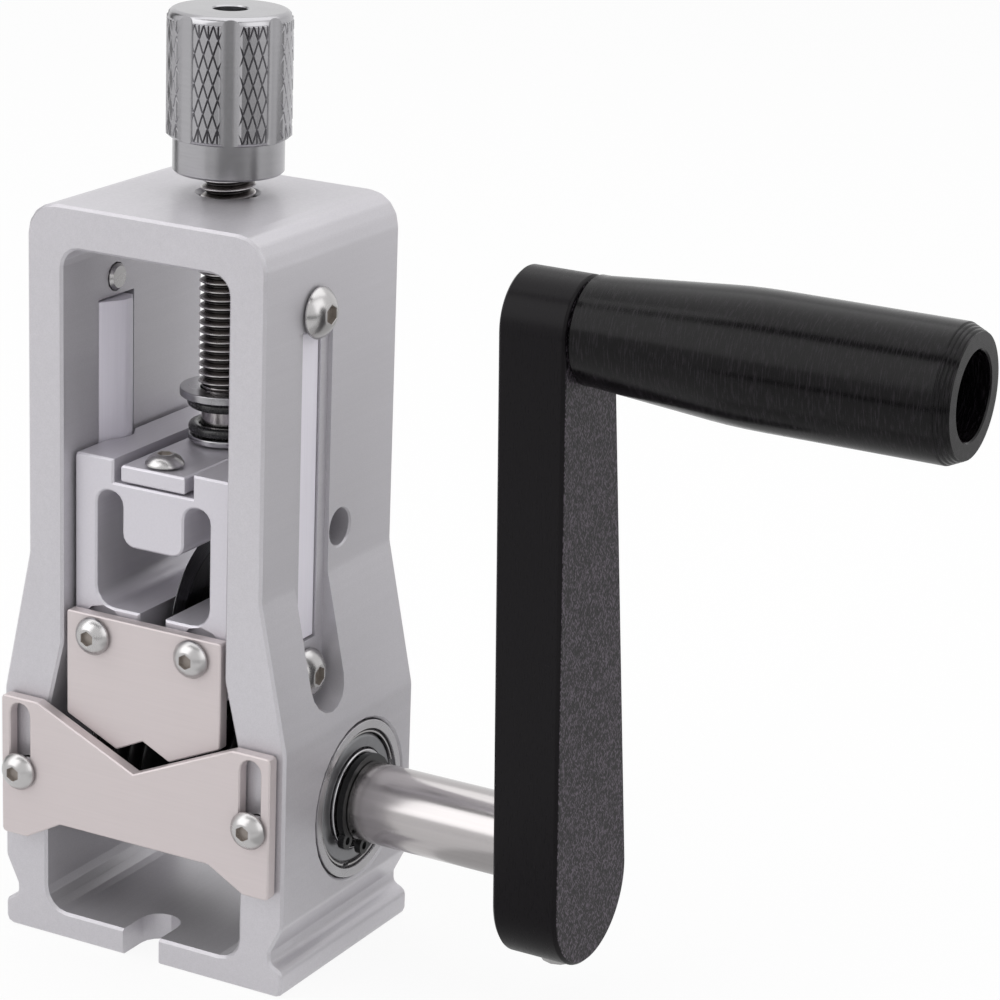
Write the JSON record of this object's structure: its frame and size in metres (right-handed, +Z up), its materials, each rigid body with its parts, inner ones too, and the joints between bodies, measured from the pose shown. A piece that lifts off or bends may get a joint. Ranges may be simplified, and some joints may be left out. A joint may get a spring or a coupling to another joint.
{
  "type": "hand crank wire stripper",
  "caption": "Hand-cranked bench wire stripper: a windowed metal frame with a ridged feed roller on a cranked shaft and a round blade in a sliding carriage set by a knurled knob.",
  "frame": {"origin": "middle of the frame's footprint, on the surface that the frame stands on", "axes": "+X along the drive shaft towards the crank, +Y from the wire entry plates to the back, +Z up"},
  "size_m": [0.1468, 0.0405, 0.139],
  "materials": {
    "blasted_aluminium": "fine blasted, clear anodised",
    "machined_aluminium": "machined satin",
    "guide_plate_steel": "satin sheet steel, slightly warm",
    "polished_steel": "polished",
    "bright_strip": "ground bright",
    "dark_screw_steel": "oiled dark steel",
    "black_rubber": "matt black rubber",
    "black_oxide_steel": "black oxide",
    "black_crank": "black anodised, fine grain on the arm and fine turning lines on the handle",
    "blade_steel": "dark ground steel with a bright edge",
    "knob_steel": "turned and knurled"
  },
  "bodies": {
    "frame": {"frame_body": "blasted_aluminium", "guide_strip_left": "bright_strip", "guide_strip_right": "bright_strip", "side_screw_upper_left": "polished_steel", "side_screw_upper_right": "polished_steel", "side_screw_lower_left": "polished_steel", "side_screw_lower_right": "polished_steel", "lower_plate_screw_left": "polished_steel", "lower_plate_screw_right": "polished_steel", "bearing_outer_ring_left": "polished_steel", "bearing_outer_ring_right": "polished_steel"},
    "lower_plate": {"lower_guide_plate": "guide_plate_steel"},
    "crank": {"drive_shaft": "polished_steel", "feed_roller": "black_oxide_steel", "roller_pin": "polished_steel", "crank_arm": "black_crank", "arm_clamp_screw": "polished_steel", "bearing_inner_ring_left": "polished_steel", "bearing_inner_ring_right": "polished_steel", "shaft_circlip_left": "black_oxide_steel", "shaft_circlip_right": "black_oxide_steel", "handle_bolt": "black_oxide_steel", "handle_washer": "polished_steel"},
    "handle": {"handle_grip": "black_crank"},
    "left_ball_cage": {"bearing_cage_left": "polished_steel"},
    "right_ball_cage": {"bearing_cage_right": "polished_steel"},
    "carriage": {"carriage_block": "machined_aluminium", "retaining_plate": "machined_aluminium", "retaining_screw_front": "polished_steel", "retaining_screw_rear": "polished_steel", "upper_guide_plate": "guide_plate_steel", "upper_plate_screw_left": "polished_steel", "upper_plate_screw_right": "polished_steel", "blade_axle": "polished_steel", "blade_spacer_left": "polished_steel", "blade_spacer_right": "polished_steel", "lower_thrust_ring": "polished_steel", "lower_black_ring": "black_rubber"},
    "blade": {"cutting_blade": "blade_steel"},
    "adjuster": {"lead_screw": "dark_screw_steel", "lead_screw_foot": "polished_steel", "upper_black_ring": "black_rubber", "flange_washer": "dark_screw_steel", "adjusting_knob": "knob_steel"}
  },
  "joints": [
    {"name": "crank_spin", "type": "hinge", "parent": "frame", "child": "crank", "pos_m": [0, 0.0032, 0.0241], "axis": [1, 0, 0], "continuous": true},
    {"name": "handle_spin", "type": "hinge", "parent": "crank", "child": "handle", "pos_m": [0.0634, -0.00447, 0.10373], "axis": [1, 0, 0], "continuous": true},
    {"name": "left_cage_spin", "type": "hinge", "parent": "frame", "child": "left_ball_cage", "pos_m": [-0.0215, 0.0032, 0.0241], "axis": [1, 0, 0], "continuous": true},
    {"name": "right_cage_spin", "type": "hinge", "parent": "frame", "child": "right_ball_cage", "pos_m": [0.0215, 0.0032, 0.0241], "axis": [1, 0, 0], "continuous": true},
    {"name": "carriage_slide", "type": "slide", "parent": "frame", "child": "carriage", "axis": [0, 0, 1], "range_m": [-0.003, 0.017]},
    {"name": "knob_turn", "type": "hinge", "parent": "carriage", "child": "adjuster", "pos_m": [0, 0.0032, 0.0723], "axis": [0, 0, 1], "range_deg": [-866, 4898]},
    {"name": "blade_spin", "type": "hinge", "parent": "carriage", "child": "blade", "pos_m": [0, 0.0032, 0.0486], "axis": [1, 0, 0], "continuous": true},
    {"name": "lower_plate_slide", "type": "slide", "parent": "frame", "child": "lower_plate", "axis": [0, 0, 1], "range_m": [-0.0088, 0]}
  ],
  "couplings": [
    {"joint": "knob_turn", "follows": "carriage_slide", "rad_per_m": 5026.5},
    {"joint": "left_cage_spin", "follows": "crank_spin", "ratio": 0.4326},
    {"joint": "right_cage_spin", "follows": "crank_spin", "ratio": 0.4326}
  ]
}
